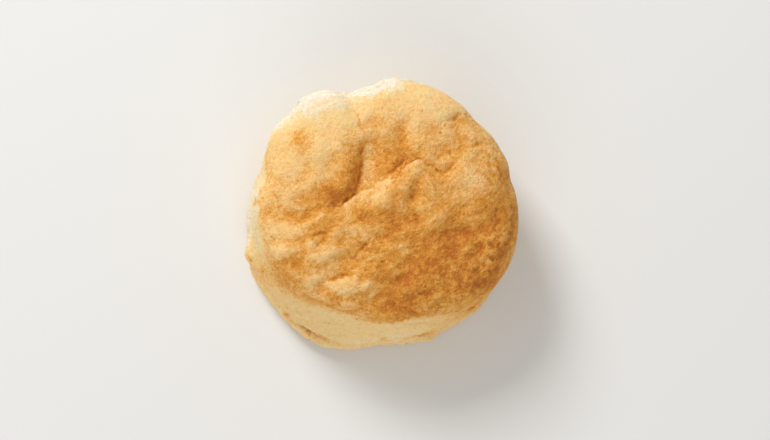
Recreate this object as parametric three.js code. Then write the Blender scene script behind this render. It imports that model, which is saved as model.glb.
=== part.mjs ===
// Buttermilk biscuit: a tall round of layered dough that rose leaning, with a folded brown top,
// a rounded shoulder, flaky sides and a flat base.
// Millimetres, +Z up. The origin is on the base plane, under the middle of the biscuit.
import * as THREE from "three";
import { mergeVertices } from "three/addons/utils/BufferGeometryUtils.js";

// Profile of the round before it leans, from the base to the crown
const MEAN_RADIUS = 43;
const FOOT_ROUND = 3;
const WALL_TOP = 22;
const SHOULDER_WIDTH = 9;
const SHOULDER_RISE = 13;
const SHOULDER_SWEEP = 70;
const CROWN_HEIGHT = 39.5;

// Stations around the axis and along each stretch of the profile
const AROUND = 120;
const STEPS = { base: 2, foot: 3, wall: 13, shoulder: 7, crown: 22 };

// Outlines of the foot and the rim: a round with lobes, each at an angle in degrees
// from +X, with its spread in degrees and how far it stands out
const FOOT = {
  centre: [-2.4, -3.4],
  radius: 42,
  lobes: [
    { at: 155, spread: 10, out: -0.8 },
    { at: 201, spread: 12, out: 1.4 },
    { at: 228, spread: 26, out: 1 },
    { at: 272, spread: 12, out: -1.8 },
    { at: 326, spread: 18, out: 4 },
  ],
};
const RIM = {
  centre: [2.8, 2.8],
  radius: 42.2,
  lobes: [
    { at: 13, spread: 4, out: -0.7 },
    { at: 21, spread: 4, out: 0.6 },
    { at: 44, spread: 6, out: -1.2 },
    { at: 101, spread: 9, out: -1.9 },
    { at: 109, spread: 4.5, out: -2.2 },
    { at: 126, spread: 11, out: 3.1 },
    { at: 128.5, spread: 3, out: 1 },
    { at: 146, spread: 9.5, out: 3.1 },
    { at: 166, spread: 5, out: -1.2 },
    { at: 180, spread: 18, out: 1.6 },
    { at: 248, spread: 26, out: -3 },
    { at: 298, spread: 30, out: -1.6 },
    { at: 338, spread: 26, out: 2.6 },
  ],
};
const RIM_HEIGHT = 30;

// Folds in the crust: paths seen from above, how far each rises (a valley is negative),
// and its width to the left and the right of the path
const FOLDS = [
  // The left pillow drops steeply to the sunken middle
  { rise: -4, left: 8, right: 2.6, path: [[-3, 27.5], [-4, 19], [-5.4, 10.5], [-7.8, 6], [-15, -0.3]] },
  // The main ridge, the torn crease along its upper foot and the hollows along its lower one
  { rise: 2.2, left: 3.6, right: 6, path: [[-18, -4], [-4, 4], [7.5, 8.5], [12.5, 13.5], [19, 20]] },
  { rise: -1.6, left: 2.2, right: 1.5, path: [[-4, 7], [2, 12], [10, 18], [17, 19]] },
  { rise: -0.3, left: 1.9, right: 2.2, path: [[-14, -5], [-5, -0.8], [3.5, 2], [10, 4.5]] },
  { rise: -1, left: 1.8, right: 1.7, path: [[15.5, 15], [12.7, 10.5], [10.7, 5], [8, 0]] },
  // Groove down the sunken middle
  { rise: -1.4, left: 2.4, right: 2.6, path: [[9, 36], [8, 29], [8, 21], [6, 15]] },
  // Short folds at the upper end of the ridge
  { rise: -1.2, left: 1.5, right: 1.5, path: [[13, 17.5], [18, 14.5], [23, 12.5]] },
  { rise: -1.4, left: 1.7, right: 1.5, path: [[19.5, 9.5], [22.5, 14], [27, 20]] },
  // Valley under the left pillow
  { rise: -1.1, left: 3.5, right: 3, path: [[-39, -1], [-28.5, 0], [-20, 2], [-10, 3]] },
  // Valleys of the lower half
  { rise: -1.2, left: 2.4, right: 3.2, path: [[3, -5], [-4, -11], [-9, -17], [-15, -21], [-26, -24]] },
  { rise: -0.5, left: 3.5, right: 2.5, path: [[15, -10], [28, -6], [41, 1.5]] },
  { rise: -0.9, left: 3, right: 2.4, path: [[-4, -27], [5, -22], [11, -16], [12, -9]] },
  // Folds that run out over the rim
  { rise: -1.1, left: 1.8, right: 1.5, path: [[19, 28.5], [26, 31], [34, 32]] },
  { rise: -0.7, left: 1.6, right: 1.5, path: [[22, 19], [29, 21.5], [38, 26]] },
  { rise: -1, left: 1.5, right: 1.5, path: [[-10, 36], [-6, 30], [-3, 23]] },
];

// Broad swells and dips of the crust
const SWELLS = [
  { at: [-22, 17], radius: 13, rise: 1.2 },
  { at: [1, 20.5], radius: 6.5, rise: -0.6 },
  { at: [30, 12], radius: 8, rise: 1.4 },
  { at: [17, 4], radius: 4, rise: 0.9 },
  { at: [-5, -21.5], radius: 4, rise: 1.4 },
  { at: [-15, -22.5], radius: 3.4, rise: 1.2 },
  { at: [-3.5, -15], radius: 3.4, rise: 0.9 },
  { at: [-21.5, -11.5], radius: 4.6, rise: 1 },
  { at: [-29.5, -11.5], radius: 3.8, rise: 1 },
  { at: [-30.5, -3.5], radius: 4.5, rise: 0.7 },
  { at: [-18.5, -8.5], radius: 3, rise: -1 },
  { at: [24, -8], radius: 4, rise: -0.6 },
  { at: [16, 35.5], radius: 6, rise: 0.8 },
  { at: [29.5, -20.5], radius: 8, rise: 0.6 },
];

// Small lumps, spread evenly over the top by the golden angle, stretched along one lean
// and lower towards the rim
const LUMPS = { count: 240, radius: 2.2, rise: 0.8, rimShare: 0.4, stretch: 1.3, lean: 30, sway: 120 };
const GOLDEN_ANGLE = Math.PI * (3 - Math.sqrt(5));

// Splits between layers of dough in the side: height, how deep and how wide each is,
// where it is centred around the biscuit and how far it runs to each side, in degrees
const SPLITS = [
  { height: 8.5, depth: 1.3, width: 1.3, at: 232, spread: 30 },
  { height: 12, depth: 1.8, width: 1.6, at: 176, spread: 24 },
  { height: 19.5, depth: 1.5, width: 1.6, at: 158, spread: 30 },
  { height: 10.5, depth: 1.6, width: 1.6, at: 108, spread: 34 },
  { height: 17, depth: 2, width: 1.8, at: 80, spread: 36 },
  { height: 23, depth: 1.4, width: 1.5, at: 112, spread: 26 },
  { height: 9.5, depth: 1.7, width: 1.7, at: 20, spread: 40 },
  { height: 16, depth: 1.6, width: 1.6, at: 350, spread: 34 },
  { height: 21, depth: 1.2, width: 1.4, at: 36, spread: 26 },
  { height: 13.5, depth: 1.2, width: 1.5, at: 300, spread: 30 },
];
const SPLIT_WANDER = 0.8;
const SPLIT_WAVES = 4;

// Layers that flare out past their neighbours, given as splits are
const FLAKES = [
  { height: 4.5, depth: -2.1, width: 3, at: 247, spread: 17 },
  { height: 4, depth: -1.6, width: 3, at: 297, spread: 4.5 },
  { height: 10, depth: -2.8, width: 2.5, at: 194.5, spread: 4.5 },
  { height: 27, depth: -2.4, width: 2.2, at: 88.5, spread: 3.6 },
  { height: 14, depth: -1, width: 2, at: 120, spread: 18 },
];

const CRUST = new THREE.MeshStandardMaterial({ color: 0xd9a45c, roughness: 0.75, metalness: 0 });

// How far a stroke of a fold reaches along its path
const STROKE_REACH = 2.4;
const STROKE_SPACING = 1.4;
const FOLD_TAPER = 0.3;

const { lerp, degToRad, smoothstep } = THREE.MathUtils;

// Difference of two angles in degrees, from -180 to 180
function turn(from, to) {
  return THREE.MathUtils.euclideanModulo(to - from + 180, 360) - 180;
}

// A bell curve: 1 at the middle, small past one width
function bell(offset, width) {
  return Math.exp(-((offset / width) ** 2));
}

// A number from 0 to 1 that looks random but depends only on its index and kind
function scatter(index, kind) {
  const wave = Math.sin(index * 12.9898 + kind * 78.233) * 43758.5453;
  return wave - Math.floor(wave);
}

// Half of the biscuit's section, from the middle of the base to the crown
function sectionPoints() {
  const shoulderEnd = degToRad(SHOULDER_SWEEP);
  const shoulderCentre = MEAN_RADIUS - SHOULDER_WIDTH;
  const footCentre = MEAN_RADIUS - FOOT_ROUND;
  const base = new THREE.LineCurve(new THREE.Vector2(0, 0), new THREE.Vector2(footCentre, 0));
  const foot = new THREE.EllipseCurve(footCentre, FOOT_ROUND, FOOT_ROUND, FOOT_ROUND, -Math.PI / 2, 0);
  const wall = new THREE.LineCurve(
    new THREE.Vector2(MEAN_RADIUS, FOOT_ROUND),
    new THREE.Vector2(MEAN_RADIUS, WALL_TOP),
  );
  const shoulder = new THREE.EllipseCurve(
    shoulderCentre, WALL_TOP, SHOULDER_WIDTH, SHOULDER_RISE, 0, shoulderEnd,
  );
  const crownStart = shoulder.getPoint(1);
  const slope = SHOULDER_RISE / (SHOULDER_WIDTH * Math.tan(shoulderEnd));
  const crownBend = crownStart.x - (CROWN_HEIGHT - crownStart.y) / slope;
  const crown = new THREE.QuadraticBezierCurve(
    crownStart,
    new THREE.Vector2(crownBend, CROWN_HEIGHT),
    new THREE.Vector2(0, CROWN_HEIGHT),
  );
  const stretches = [
    base.getPoints(STEPS.base),
    foot.getPoints(STEPS.foot),
    wall.getPoints(STEPS.wall),
    shoulder.getPoints(STEPS.shoulder),
    crown.getSpacedPoints(STEPS.crown),
  ];
  return stretches.flatMap((points, index) => (index === 0 ? points : points.slice(1)));
}

// Radius of an outline at an angle in degrees
function outlineRadius(outline, angle) {
  return outline.lobes.reduce(
    (radius, lobe) => radius + lobe.out * bell(turn(lobe.at, angle), lobe.spread),
    outline.radius,
  );
}

// A fold as short strokes along its path, each with its place, direction and strength
function foldStrokes(fold) {
  const curve = new THREE.SplineCurve(fold.path.map(([x, y]) => new THREE.Vector2(x, y)));
  const length = curve.getLength();
  const count = Math.ceil(length / STROKE_SPACING);
  const share = length / count / (STROKE_REACH * Math.sqrt(Math.PI));
  return Array.from({ length: count }, (_, index) => {
    const along = (index + 0.5) / count;
    const taper = smoothstep(along, 0, FOLD_TAPER) * smoothstep(1 - along, 0, FOLD_TAPER);
    return {
      at: curve.getPointAt(along),
      direction: curve.getTangentAt(along),
      rise: fold.rise * taper * share,
      left: fold.left,
      right: fold.right,
    };
  });
}

// Height that one stroke adds at a point
function strokeHeight(stroke, x, y) {
  const dx = x - stroke.at.x;
  const dy = y - stroke.at.y;
  const along = dx * stroke.direction.x + dy * stroke.direction.y;
  const across = stroke.direction.x * dy - stroke.direction.y * dx;
  const width = across > 0 ? stroke.left : stroke.right;
  return stroke.rise * bell(along, STROKE_REACH) * bell(across, width);
}

// The lumps, each with its place, height and the direction it is stretched along
function lumpList() {
  const gap = MEAN_RADIUS * Math.sqrt(Math.PI / LUMPS.count);
  return Array.from({ length: LUMPS.count }, (_, index) => {
    const reach = MEAN_RADIUS * Math.sqrt((index + 0.5) / LUMPS.count);
    const angle = index * GOLDEN_ANGLE;
    const lean = degToRad(LUMPS.lean + LUMPS.sway * (scatter(index, 3) - 0.5));
    const share = lerp(1, LUMPS.rimShare, (reach / MEAN_RADIUS) ** 4);
    return {
      x: RIM.centre[0] + reach * Math.cos(angle) + gap * (scatter(index, 1) - 0.5),
      y: RIM.centre[1] + reach * Math.sin(angle) + gap * (scatter(index, 2) - 0.5),
      rise: LUMPS.rise * share * (2 * scatter(index, 4) - 1),
      along: [Math.cos(lean), Math.sin(lean)],
    };
  });
}

// Height that one lump adds at a point
function lumpHeight(lump, x, y) {
  const dx = x - lump.x;
  const dy = y - lump.y;
  const along = dx * lump.along[0] + dy * lump.along[1];
  const across = dy * lump.along[0] - dx * lump.along[1];
  return lump.rise * bell(along, LUMPS.radius * LUMPS.stretch) * bell(across, LUMPS.radius);
}

// Height of the folds, swells and lumps at a point seen from above
function reliefMaker() {
  const strokes = FOLDS.flatMap(foldStrokes);
  const lumps = lumpList();
  return (x, y) => {
    let height = 0;
    for (const stroke of strokes) {
      height += strokeHeight(stroke, x, y);
    }
    for (const swell of SWELLS) {
      height += swell.rise * bell(Math.hypot(x - swell.at[0], y - swell.at[1]), swell.radius);
    }
    for (const lump of lumps) {
      height += lumpHeight(lump, x, y);
    }
    return height;
  };
}

// How far the layers of the side stand in (splits) or out (flakes) at an angle and height
function layerDepth(angle, z) {
  return [...SPLITS, ...FLAKES].reduce((depth, layer, index) => {
    const wave = Math.sin(degToRad(angle) * SPLIT_WAVES + index) * SPLIT_WANDER;
    const around = bell(turn(layer.at, angle), layer.spread);
    return depth + layer.depth * around * bell(z - layer.height - wave, layer.width);
  }, 0);
}

// Leans, lobes, layers and folds the plain round, vertex by vertex
function shapeBiscuit(geometry) {
  const relief = reliefMaker();
  const position = geometry.getAttribute("position");
  for (let index = 0; index < position.count; index += 1) {
    const z = position.getZ(index);
    const planar = new THREE.Vector2(position.getX(index), position.getY(index));
    const angle = THREE.MathUtils.radToDeg(planar.angle());
    const lean = smoothstep(z, 0, RIM_HEIGHT);
    const outline = lerp(outlineRadius(FOOT, angle), outlineRadius(RIM, angle), lean);
    const onWall = smoothstep(z, 0, FOOT_ROUND) * (1 - smoothstep(z, WALL_TOP, RIM_HEIGHT + FOOT_ROUND));
    const radius = planar.length() * (outline / MEAN_RADIUS) - onWall * layerDepth(angle, z);
    const x = lerp(FOOT.centre[0], RIM.centre[0], lean) + radius * Math.cos(planar.angle());
    const y = lerp(FOOT.centre[1], RIM.centre[1], lean) + radius * Math.sin(planar.angle());
    const onTop = smoothstep(z, WALL_TOP, WALL_TOP + SHOULDER_RISE);
    position.setXYZ(index, x, y, z + onTop * relief(x, y));
  }
}

// Moves the middle of the footprint over the origin
function centreOnOrigin(geometry) {
  geometry.computeBoundingBox();
  const middle = geometry.boundingBox.getCenter(new THREE.Vector3());
  geometry.translate(-middle.x, -middle.y, 0);
}

function makeBiscuit() {
  const lathe = new THREE.LatheGeometry(sectionPoints(), AROUND);
  lathe.rotateX(Math.PI / 2);
  lathe.deleteAttribute("normal");
  lathe.deleteAttribute("uv");
  const geometry = mergeVertices(lathe);
  shapeBiscuit(geometry);
  centreOnOrigin(geometry);
  geometry.computeVertexNormals();
  const mesh = new THREE.Mesh(geometry, CRUST);
  mesh.name = "biscuit";
  return mesh;
}

const biscuit = new THREE.Group();
biscuit.add(makeBiscuit());

export default biscuit;
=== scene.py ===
import math

import bmesh
import bpy
import numpy as np
from bpy.props import FloatProperty, FloatVectorProperty, IntProperty, PointerProperty
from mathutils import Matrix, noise


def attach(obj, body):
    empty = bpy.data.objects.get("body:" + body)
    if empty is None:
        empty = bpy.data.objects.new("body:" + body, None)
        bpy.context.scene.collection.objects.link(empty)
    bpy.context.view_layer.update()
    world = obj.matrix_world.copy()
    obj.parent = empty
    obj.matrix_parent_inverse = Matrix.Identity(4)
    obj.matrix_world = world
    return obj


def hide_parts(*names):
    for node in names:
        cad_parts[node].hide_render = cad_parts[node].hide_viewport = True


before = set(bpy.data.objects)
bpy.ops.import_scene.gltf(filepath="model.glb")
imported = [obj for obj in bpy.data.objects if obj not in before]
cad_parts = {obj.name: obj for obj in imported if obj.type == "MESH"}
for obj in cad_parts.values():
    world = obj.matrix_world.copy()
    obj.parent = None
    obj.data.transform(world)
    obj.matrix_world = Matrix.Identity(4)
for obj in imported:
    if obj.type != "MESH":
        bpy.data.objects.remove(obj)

bl_info = {
    "name": "Baked Biscuit",
    "version": (1, 0, 0),
    "blender": (4, 5, 0),
    "location": "View3D > Sidebar > Biscuit",
    "description": "Bakes the crust, the flaky side and the stage of a buttermilk biscuit",
    "category": "Object",
}

NODE = "biscuit"
BODY = "root"
MM = 0.001

# Start of the noise that makes edges uneven, so that each bake comes out the same
NOISE_SEED = 3

# Thin creases that the solid is too coarse for: the path of each from above, its depth,
# its half width and how far the crust curls up on its right, all in millimetres
CREASES = [
    # The foot of the left pillow
    {"depth": 0.4, "width": 0.5, "lip": 0.0,
     "path": [(-5.2, 18), (-6.5, 11.5), (-7.6, 7.4), (-10.5, 4.4)]},
    # The torn upper edge of the main ridge, and two slits beside its end
    {"depth": 1.0, "width": 0.6, "lip": 0.2,
     "path": [(-15.1, 3.2), (-12.7, 3), (-9.7, 5.2), (-6.2, 8.4)]},
    {"depth": 0.4, "width": 0.4, "lip": 0.2,
     "path": [(-7.7, 7.2), (-2.2, 9.5), (-0.1, 11.1), (2.8, 11.6), (6.8, 12.8)]},
    {"depth": 0.4, "width": 0.45, "lip": 0.2,
     "path": [(3.6, 13.4), (6.4, 15.8), (9.6, 18.2)]},
    {"depth": 0.45, "width": 0.4, "lip": 0.3,
     "path": [(5.5, 12.8), (8.8, 16), (11.8, 17.7), (14.8, 18.3)]},
    # Short folds right of the ridge
    {"depth": 0.3, "width": 0.4, "lip": 0.4,
     "path": [(14.2, 16.6), (17, 15.4), (20.8, 12.6)]},
    {"depth": 0.25, "width": 0.4, "lip": 0.1,
     "path": [(20.6, 12.8), (22.4, 14.8), (24.6, 16.6)]},
    {"depth": 0.35, "width": 0.4, "lip": 0.1,
     "path": [(23, 21.2), (22.8, 19.8), (23.8, 18.7), (25.6, 18.4)]},
    # The seam above the left pillow
    {"depth": 0.5, "width": 0.4, "lip": 0.2,
     "path": [(-9.2, 35.1), (-6, 30.7), (-6.9, 28.9), (-3.1, 24.6)]},
    # Folds near the right rim
    {"depth": 0.5, "width": 0.45, "lip": 0.2,
     "path": [(21.4, 29.8), (24.9, 31.6), (26.9, 32.6), (29.4, 31.2)]},
    {"depth": 0.3, "width": 0.4, "lip": 0.1,
     "path": [(27, 30.8), (24.5, 30.4), (22.6, 29.4)]},
    {"depth": 0.35, "width": 0.35, "lip": 0.15,
     "path": [(36.4, 17), (37.6, 15.4), (38.8, 13.6), (39, 11.8)]},
    {"depth": 0.3, "width": 0.45, "lip": 0.1,
     "path": [(29.5, 21.3), (31.6, 22.4), (33.2, 23.6)]},
    # Folds of the lower half
    {"depth": 0.6, "width": 0.6, "lip": 0.3,
     "path": [(-8.2, -13.8), (-5.3, -10.4), (-2.8, -7)]},
    {"depth": 0.6, "width": 0.6, "lip": 0.4,
     "path": [(-18.5, -21.2), (-13.5, -20.3), (-9.5, -19.2), (-5.8, -19.4)]},
    {"depth": 0.25, "width": 0.6, "lip": 0.2,
     "path": [(-22.6, -7.9), (-18.6, -5.9), (-13.7, -5.4)]},
    # Cracks beside the torn fleck at the lower right
    {"depth": 0.6, "width": 0.35, "lip": 0.2,
     "path": [(34.9, -13), (36.2, -14.3), (36.8, -15.6)]},
    {"depth": 0.5, "width": 0.35, "lip": 0.2,
     "path": [(34.9, -17.4), (35.8, -18), (36.6, -18.2)]},
    # The crack low in the front of the side
    {"depth": 1.2, "width": 0.4, "lip": 0.3,
     "path": [(-29, -35.8), (-25.9, -37.4), (-23.5, -39), (-20.2, -40.4)]},
    {"depth": 1.0, "width": 0.4, "lip": 0.3,
     "path": [(-23, -39.2), (-20.2, -40.4), (-16.2, -41.6), (-14.2, -42.5)]},
]

# How much browner a crease is for each millimetre of its depth, as painted shade in it with some real
# browning
CREASE_BROWNING_AND_SHADE = 0.2

# How far off a crease its lip is, how wide the lip is, and how far off both are worked out,
# in half widths of the crease
LIP_OFFSET = 2.0
LIP_WIDTH = 2.0
CREASE_REACH = 8.0

# Slopes painted browner down to their foot, partly baked browner and partly painted shade where they
# face away from the light: the path of the foot from above, with the slope on its right, how far the
# browning reaches up and how much it is
SHADED_SLOPES = [
    # The left pillow's
    {"width": 3.0, "change": 0.15,
     "path": [(-4.2, 23.5), (-5.8, 17), (-6.6, 11), (-7.8, 7.4), (-12, 4.4), (-15.6, 3)]},
]

# How far that browning and painted shade reaches past the foot, in millimetres,
# and how far off it is worked out, in widths of the slope
SLOPE_EDGE = 0.4
SLOPE_REACH = 3.0

# Patches of the top painted darker (positive) or paler (negative), partly baked tone and partly
# painted light and shade: the middle of each from above, its radius in millimetres and how much it
# changes
TOASTED_AND_SHADED = [
    # The left pillow
    {"at": (-24.6, 15.6), "radius": 14, "change": -0.2},
    {"at": (-18.6, 29.6), "radius": 8, "change": -0.19},
    {"at": (-26, 29.5), "radius": 5, "change": -0.14},
    {"at": (-25, 24.4), "radius": 3.6, "change": 0.38},
    {"at": (-16.8, 21.2), "radius": 3.2, "change": -0.14},
    {"at": (-18, 12.9), "radius": 2.8, "change": -0.1},
    {"at": (-22.2, 12.9), "radius": 2.5, "change": 0.12},
    {"at": (-33.5, 23.5), "radius": 5, "change": -0.09},
    {"at": (-35, 15.2), "radius": 4, "change": 0.04},
    {"at": (-16.6, 8.1), "radius": 5, "change": 0.14},
    {"at": (-21.6, 6.1), "radius": 5, "change": 0.1},
    # The cliff at its right and the hollow beyond, darker mostly as painted shade on the slope that
    # faces away from the light
    {"at": (-6.8, 20.5), "radius": 2.5, "change": 0.12},
    {"at": (-8.4, 15.5), "radius": 3.2, "change": 0.2},
    {"at": (-9.6, 11.3), "radius": 3.5, "change": 0.18},
    {"at": (-11.9, 7.2), "radius": 4.2, "change": 0.16},
    {"at": (-15, 6), "radius": 3.5, "change": 0.14},
    {"at": (-3.9, 19.3), "radius": 3, "change": -0.1},
    {"at": (-5.6, 30), "radius": 4, "change": -0.14},
    {"at": (6.7, 31.2), "radius": 3.5, "change": -0.1},
    {"at": (6, 24.6), "radius": 4.5, "change": 0.05},
    {"at": (3.5, 17.7), "radius": 2.8, "change": 0.1},
    {"at": (-1.5, 14.6), "radius": 2.6, "change": 0.1},
    {"at": (4.8, 14.1), "radius": 3.5, "change": 0.14},
    {"at": (6.8, 16.4), "radius": 3.5, "change": 0.1},
    {"at": (11.3, 22.8), "radius": 4, "change": 0.11},
    {"at": (15.8, 25.6), "radius": 4, "change": 0.08},
    # The far rim
    {"at": (-20, 36.5), "radius": 6, "change": -0.3},
    {"at": (-10, 36), "radius": 6, "change": -0.32},
    {"at": (0.6, 41.6), "radius": 6, "change": -0.44},
    {"at": (7.2, 43), "radius": 3.4, "change": -0.3},
    {"at": (16.4, 33.6), "radius": 11, "change": -0.26},
    {"at": (24.4, 27.6), "radius": 4, "change": 0.1},
    {"at": (15.5, 38.5), "radius": 3.5, "change": -0.1},
    # The right half and its rim, with a paler patch at its middle as painted light
    {"at": (23.8, 14.2), "radius": 3.5, "change": 0.04},
    {"at": (31, 12.6), "radius": 5, "change": -0.18},
    {"at": (24.5, 8), "radius": 5, "change": -0.12},
    {"at": (32.5, 5), "radius": 4.5, "change": 0.14},
    {"at": (39.4, 14.1), "radius": 5, "change": 0.16},
    {"at": (43.4, 0.6), "radius": 8, "change": 0.18},
    # The main ridge
    {"at": (1.4, 8.6), "radius": 4.5, "change": -0.07},
    {"at": (-1.2, 9.6), "radius": 2.2, "change": -0.1},
    {"at": (-5.7, 6.4), "radius": 4, "change": -0.2},
    {"at": (-11.2, 2.3), "radius": 3, "change": -0.16},
    {"at": (9.9, 7.6), "radius": 2.5, "change": -0.05},
    {"at": (11.6, 7), "radius": 2.2, "change": 0.08},
    {"at": (13.4, 11.2), "radius": 2.4, "change": 0.1},
    {"at": (10, 14), "radius": 2, "change": -0.1},
    {"at": (14.1, 17), "radius": 2.2, "change": -0.1},
    # The valley below it
    {"at": (-16.4, 0.6), "radius": 4, "change": 0.12},
    {"at": (-6.2, -0.4), "radius": 3, "change": 0.1},
    {"at": (3.4, -2.4), "radius": 4, "change": 0.08},
    {"at": (9.9, 0.7), "radius": 2.6, "change": -0.12},
    {"at": (8, -4), "radius": 3.5, "change": 0.08},
    {"at": (-25.1, -0.4), "radius": 4, "change": -0.02},
    {"at": (-29, -1.5), "radius": 4, "change": 0.01},
    {"at": (-35.5, -1.2), "radius": 4, "change": 0.03},
    # The lower left
    {"at": (-32, -12.2), "radius": 4, "change": -0.08},
    {"at": (-35, -5), "radius": 5, "change": -0.1},
    {"at": (-17.3, -6.3), "radius": 2.8, "change": 0.1},
    {"at": (-17, -11.2), "radius": 4, "change": -0.15},
    {"at": (-22, -11.2), "radius": 3, "change": -0.08},
    {"at": (-22.2, -18.2), "radius": 3.5, "change": -0.1},
    {"at": (-10.2, -17.4), "radius": 2.6, "change": 0.09},
    {"at": (-13.2, -13), "radius": 3, "change": -0.08},
    {"at": (-3.5, -14.6), "radius": 3, "change": -0.1},
    {"at": (-2.4, -9.8), "radius": 3, "change": -0.02},
    {"at": (-9.4, -6.3), "radius": 4, "change": -0.17},
    {"at": (-1.3, -5.3), "radius": 3, "change": -0.12},
    {"at": (-14.1, -18.8), "radius": 2.2, "change": 0.12},
    {"at": (-2.9, -16.9), "radius": 2.5, "change": 0.1},
    {"at": (-30, -18), "radius": 5, "change": 0.16},
    {"at": (-30.1, -6.3), "radius": 4, "change": -0.1},
    {"at": (-19.2, -21.6), "radius": 3.5, "change": -0.23},
    {"at": (-11.7, -20.8), "radius": 6, "change": -0.23},
    {"at": (-1.4, -23.9), "radius": 4, "change": -0.16},
    {"at": (-8, -25.4), "radius": 4, "change": -0.06},
    {"at": (-20, -26), "radius": 6, "change": 0.06},
    {"at": (-15.5, -25.5), "radius": 3, "change": 0.14},
    # The dark lower right, partly painted shade where the top turns away from the light
    {"at": (0.3, -13.4), "radius": 20, "change": 0.1},
    {"at": (6.8, -29.4), "radius": 8, "change": 0.16},
    {"at": (16.4, -24.4), "radius": 12, "change": 0.09},
    {"at": (12.3, -16.4), "radius": 3.4, "change": 0.17},
    {"at": (18.6, -16), "radius": 3, "change": 0.14},
    {"at": (9.1, -10.8), "radius": 3, "change": -0.13},
    {"at": (5, -19), "radius": 3.2, "change": -0.03},
    {"at": (18.6, -28.6), "radius": 4, "change": -0.06},
    {"at": (33.5, -15.5), "radius": 3, "change": -0.08},
    {"at": (22.2, -8.6), "radius": 6, "change": 0.15},
    {"at": (24, -16), "radius": 9, "change": 0.03},
    {"at": (29.4, -7.9), "radius": 5, "change": 0.1},
    {"at": (30.5, -23), "radius": 6, "change": 0.2},
    {"at": (35, -20.5), "radius": 5, "change": 0.18},
    {"at": (37.4, -10.4), "radius": 10, "change": 0.14},
    {"at": (39, -15), "radius": 5, "change": 0.14},
    # Flecks where the crust tore and its pale inside shows
    {"at": (2.2, -15.1), "radius": 0.5, "change": -0.35},
    {"at": (2.9, -15.7), "radius": 0.4, "change": 0.2},
    {"at": (3.5, -16.2), "radius": 0.6, "change": -0.35},
    {"at": (34.2, -14.6), "radius": 1.3, "change": -0.16},
    {"at": (35, -17), "radius": 1, "change": -0.12},
    {"at": (0.6, 11.3), "radius": 0.9, "change": -0.35},
    {"at": (2.8, 11.7), "radius": 0.9, "change": -0.35},
    {"at": (-22, -9), "radius": 1, "change": -0.1},
]

# Small swells of the crust, each with its middle, radius and rise in millimetres
SWELLS = [
    # Lumps of the lower half
    {"at": (-32, -12.5), "radius": 3, "rise": 0.6},
    {"at": (-16, -11.8), "radius": 3, "rise": 0.6},
    {"at": (-22, -9.4), "radius": 1.6, "rise": 0.5},
    {"at": (-20.1, -20.4), "radius": 2.5, "rise": 0.7},
    {"at": (-11.2, -20.9), "radius": 4, "rise": 0.6},
    {"at": (-11.2, -6.4), "radius": 3, "rise": 0.5},
    {"at": (-2.4, -10.4), "radius": 2.5, "rise": 0.5},
    # In the seam above the left pillow
    {"at": (-6.6, 30.6), "radius": 2.4, "rise": 0.55},
    {"at": (-4.6, 26.2), "radius": 2.4, "rise": 0.55},
    # In the fold right of the ridge, and by the right rim
    {"at": (21.2, 13), "radius": 2.8, "rise": 0.75},
    {"at": (24.2, 16.6), "radius": 2.2, "rise": 0.45},
    {"at": (26.2, 18.8), "radius": 2.6, "rise": 0.7},
    {"at": (29.4, 21.6), "radius": 2.4, "rise": 0.35},
    {"at": (20.8, 29.6), "radius": 2.8, "rise": 0.55},
    {"at": (33, 8), "radius": 6, "rise": 0.7},
]

# Height of the edge of the brown crust, how far it climbs (or drops) around the biscuit,
# and how softly it fades, in millimetres, each with its angle and spread in degrees
BORDER_HEIGHT = 31.0
BORDER_CLIMBS = [
    {"at": 20, "spread": 45, "amount": -9.0},
    {"at": 95, "spread": 10, "amount": 3.0},
    {"at": 118, "spread": 20, "amount": 3.0},
    {"at": 153, "spread": 10, "amount": -6.0},
    {"at": 164, "spread": 4, "amount": 1.8},
    {"at": 169, "spread": 9, "amount": -1.2},
    {"at": 190, "spread": 12, "amount": -3.0},
    {"at": 218, "spread": 17, "amount": -10.5},
    {"at": 245, "spread": 9, "amount": -1.6},
    {"at": 267, "spread": 7, "amount": -2.4},
    {"at": 281, "spread": 8, "amount": 0.8},
    {"at": 328, "spread": 20, "amount": -8.5},
]
BORDER_FADE = 1.2
BORDER_FADES = [
    {"at": 125, "spread": 25, "amount": 2.4},
    {"at": 172, "spread": 12, "amount": -0.7},
    {"at": 212, "spread": 20, "amount": 4.5},
    {"at": 233, "spread": 10, "amount": 2.2},
]

# How much softer the crust's relief fades than its colour, in metres
RELIEF_SOFTNESS = 0.003

# How brown the side is around the biscuit, besides its usual tan
SIDE_TANS = [
    {"at": 86, "spread": 6, "amount": -0.2},
    {"at": 98, "spread": 8, "amount": -0.12},
    {"at": 120, "spread": 30, "amount": -0.27},
    {"at": 176, "spread": 13, "amount": -0.17},
    {"at": 194, "spread": 6, "amount": -0.07},
    {"at": 207, "spread": 9, "amount": 0.28},
    {"at": 321, "spread": 21, "amount": 0.44},
]

# How much of that the foot of the side shows, and the heights in metres over which the rest comes in
FOOT_TAN = 0.3
FOOT_SPAN = (0.003, 0.016)
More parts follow.
